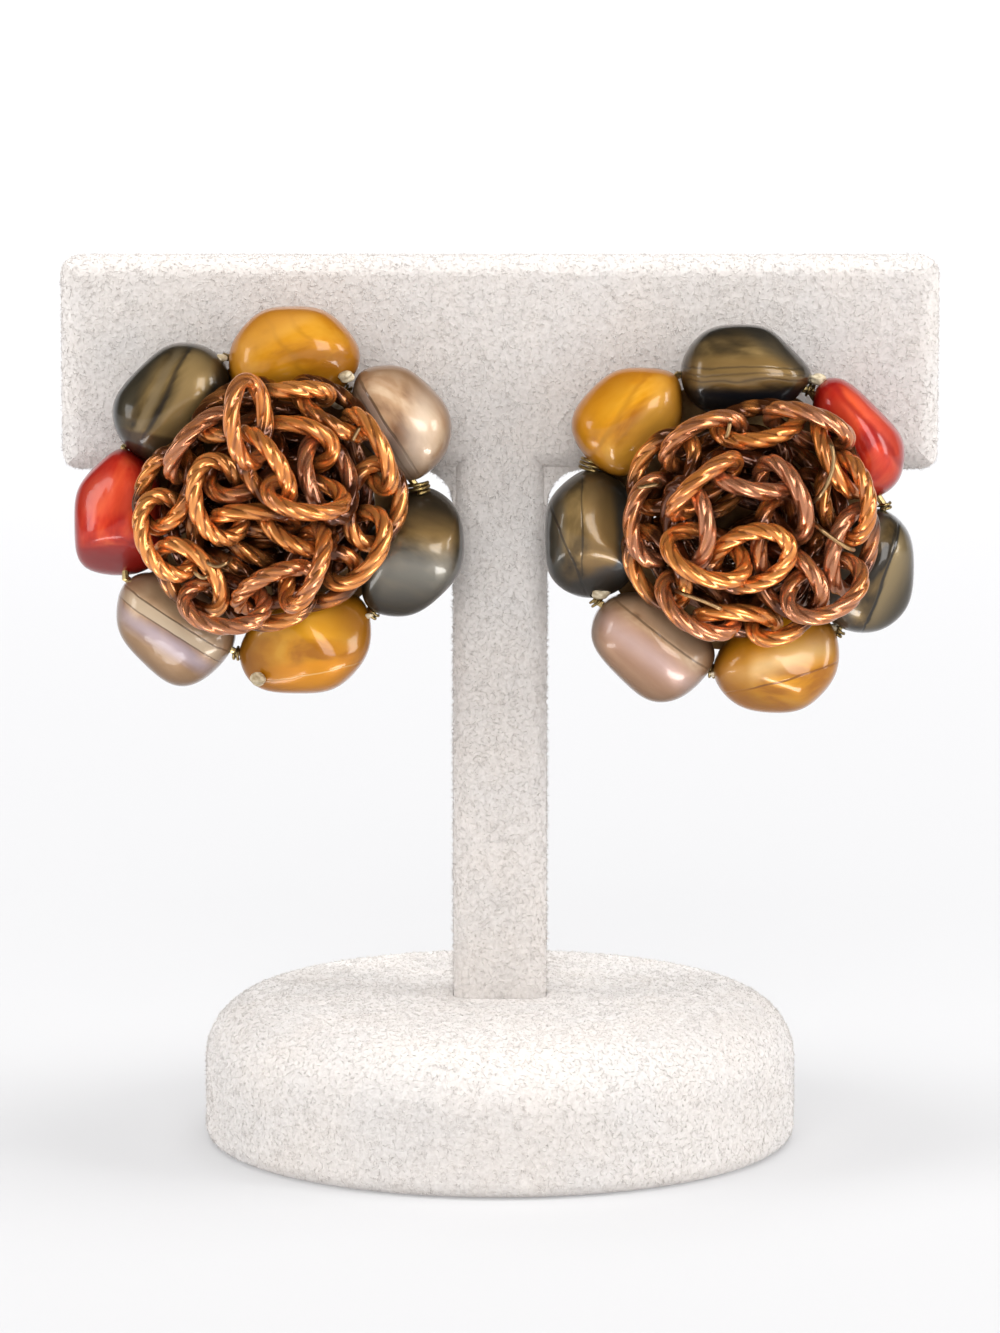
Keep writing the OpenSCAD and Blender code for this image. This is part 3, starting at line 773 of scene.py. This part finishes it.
twisted_copper = copper()
chain_wires = {}
for side, seed in (("left", 5), ("right", 6)):
    chain_wires[side] = [smooth_ring(ring, link_stations) for ring in link_rings(side)]
    twisted_chain(side, chain_wires[side], seed)


# Ring wires
# A brass wire runs round through the bores of the seven beads of each earring and is closed into a ring. It
# shows only in the gaps between the beads.
wire_brass = old_brass("wire_brass", bright=(0.72, 0.56, 0.26), dark=(0.34, 0.24, 0.10), roughness=0.25)
refinish("left_bead_wire", wire_brass)
refinish("right_bead_wire", wire_brass)


# Binding and glue
# In the wider gaps between two beads the ring wire is bound with a turn or two of finer brass wire, drawn
# tight with pliers. The maker set some of the gaps with glue, which has dried to a cream crust.

# Both radii are in mm, of the loop and of its wire. A gap has its place from the middle of the plate.
NARROW = dict(radius=0.62, turns_each=1.3, wire=0.14)
WIDE = dict(radius=1.15, turns_each=2.2, wire=0.18)
GAPS = {
    "left": [(8, 11, NARROW), (15, 1.5, WIDE), (10.5, -11, NARROW), (-3, -15, NARROW)],
    "right": [(7.5, 13, NARROW), (15, 1.5, NARROW), (10.5, -11, NARROW), (-2, -15, NARROW),
              (-13.5, -8, NARROW), (-14, 5.5, WIDE)],
}

# Columns: place from the middle of the plate, size, and how far the dab is in front of the beads' middles.
DABS = {
    "left": [(8.1, 12.7, 0.7, 2.4), (7.4, 10.2, 0.8, 2.2), (-4.5, 14.3, 0.6, 0.6), (-3.6, 10, 0.6, 0.6),
             (10, -11.2, 0.4, 0.6), (-0.7, -17.3, 0.75, 2.8)],
    "right": [(8.2, 14.1, 0.75, 0.6), (13.9, 1.6, 0.4, 0.6), (-13.2, -7.2, 0.7, 0.6), (9.9, -10.6, 0.4, 0.6),
              (-1.8, -15.2, 0.4, 0.6)],
}


def bent_wire(path, radius):
    """A round wire along a path, cut off flat at both ends."""
    sides = 10
    path = np.asarray(path, dtype=float)
    ahead = np.gradient(path, axis=0)
    ahead /= np.linalg.norm(ahead, axis=1)[:, None]
    off_every_wire = (0.31, 0.2, 0.93)
    side = np.cross(ahead[0], off_every_wire)
    points = []
    for spot, way in zip(path, ahead):
        side = side - way * (side @ way)
        side /= np.linalg.norm(side)
        other = np.cross(way, side)
        for k in range(sides):
            turn = 2 * math.pi * k / sides
            points.append(spot + radius * (side * math.cos(turn) + other * math.sin(turn)))
    faces = []
    for k in range(len(path) - 1):
        for m in range(sides):
            a, b = k * sides + m, k * sides + (m + 1) % sides
            faces.append((a, b, b + sides, a + sides))
    faces.append(list(range(sides))[::-1])
    faces.append([(len(path) - 1) * sides + m for m in range(sides)])
    return points, faces


def joined(name, parts):
    points, faces = [], []
    for own_points, own_faces in parts:
        first = len(points)
        points.extend(own_points)
        faces.extend([first + v for v in face] for face in own_faces)
    return make_mesh(name, points, faces)


def binding_loop(centre, along, radius, turns_each, wire):
    pitch, stations = 0.42, 48
    front = np.array([0, -1, 0])
    sideways = np.cross(along, front)
    steps = np.linspace(0, 2 * math.pi * turns_each, stations)
    path = [centre + radius * (front * math.cos(t) + sideways * math.sin(t))
            + along * pitch * (t / (2 * math.pi) - turns_each / 2) for t in steps]
    return bent_wire(path, wire)


def glue_dab(centre, size, random):
    cuts = 4
    lump_count, lump_high, lump_fine = 5, 0.09, 2.2
    squashed, least, spread = np.array([1.1, 0.75, 0.8]), 0.9, 0.25
    points, faces = ball_grid(cuts)
    waves = [np.sin(points @ random.normal(0, lump_fine, 3) + k)[:, None] for k in range(lump_count)]
    lumps = sum(waves) * lump_high
    shape = squashed * (least + spread * random.random(3))
    return centre + points * (1 + lumps) * shape * size, faces


def dried_glue():
    material, tree = new_material("dried_glue")
    crust = noise(tree, surface_place(tree), scale=1400, detail=4)
    cream = colour_ramp(tree, crust, (0.35, (0.36, 0.27, 0.15)), (0.6, (0.70, 0.60, 0.42)))
    crumb = plain_node(tree, "ShaderNodeBsdfPrincipled", Base_Color=cream, Roughness=0.4,
                       Normal=relief(tree, crust, strength=0.5, deep_mm=0.1))
    plain_node(tree, "ShaderNodeOutputMaterial", Surface=crumb.outputs[0])
    return material


glue = dried_glue()
loop_brass = old_brass("loop_brass", bright=(0.46, 0.34, 0.14), dark=(0.16, 0.105, 0.04), roughness=0.25)
for side, seed in (("left", 21), ("right", 22)):
    random = np.random.default_rng(seed)
    middle = earring_middle(side)
    turns = []
    for x, z, loop in GAPS[side]:
        along = np.array([-z, 0, x]) / math.hypot(x, z)
        turns.append(binding_loop(on_earring(middle, x, z, bead_lift), along, **loop))
    loops = joined(f"{side}_binding_loops", turns)
    loops.data.materials.append(loop_brass)
    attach(loops, "root")
    crumbs = []
    for x, z, size, proud in DABS[side]:
        crumbs.append(glue_dab(on_earring(middle, x, z, bead_lift + proud), size, random))
    dabs = joined(f"{side}_glue_dabs", crumbs)
    dabs.data.materials.append(glue)
    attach(dabs, "root")


# Stitching wire
# Fine soft brass wire was sewn over the chain and through the holes of the plate to hold the bunch in shape.
# Its short ends stick up here and there between the links.

# Each row is one end of wire, as the places that it passes, from the middle of the plate.
STITCHES = {
    "left": [
        [(-5.4, -4.6), (-4.8, -5.1), (-3.9, -5.2), (-3.1, -4.6)],
        [(-6.6, -5.6), (-5.9, -6.3), (-5.2, -6.2)],
        [(9.6, 8.2), (9.2, 7.6), (8.8, 6.8)],
    ],
    "right": [
        [(8.7, 9.1), (9.1, 7.6), (9.1, 6), (8.5, 4.4), (7.3, 2.8)],
        [(7.4, 0.8), (8.8, -0.4), (10, -1.1), (11.3, -1.9)],
        [(-9.7, 4), (-8.6, 4.3), (-7.5, 4.4)],
        [(-0.8, 10.6), (-0.9, 9.8), (-1.2, 8.8)],
        [(-5.8, -5.9), (-4.6, -6.6), (-3.2, -6.9), (-2, -7.2), (-1.4, -7.9)],
    ],
}


def front_of_links(side, middle, x, z):
    """How far the foremost link at x, z stands in front of the plate's face."""
    wire_radius = 0.8
    best = 0
    for path in chain_wires[side]:
        away = np.hypot(path[:, 0] - middle[0] - x, path[:, 2] - middle[2] - z)
        near = away < wire_radius
        if near.any():
            lift = middle[1] - path[near, 1] + np.sqrt(wire_radius ** 2 - away[near] ** 2)
            best = max(best, lift.max())
    return best


def stitch(side, middle, spots):
    """One end of wire over the links, in a curve through its spots. Both tips bend down."""
    wire, sunk = 0.22, 1.4
    curve_power, stations_each, tips_in_length = 2, 8, 6
    t = np.linspace(0, 1, len(spots))
    steps = np.linspace(0, 1, stations_each * len(spots))
    bends = [np.polyfit(t, column, curve_power) for column in np.array(spots).T]
    curve = np.array([np.polyval(bend, steps) for bend in bends]).T
    lifts = [front_of_links(side, middle, x, z) for x, z in curve]
    ease = np.minimum(1, np.minimum(steps, 1 - steps) * tips_in_length)
    lift = max(lifts) + wire - sunk * (1 - ease) ** 2
    return bent_wire([on_earring(middle, x, z, h) for (x, z), h in zip(curve, lift)], wire)


stitch_brass = old_brass("stitch_brass", bright=(0.56, 0.37, 0.18), dark=(0.22, 0.125, 0.055), roughness=0.3)
for side, rows in STITCHES.items():
    middle = earring_middle(side)
    ends = joined(f"{side}_stitching_wire", [stitch(side, middle, spots) for spots in rows])
    ends.data.materials.append(stitch_brass)
    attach(ends, "root")
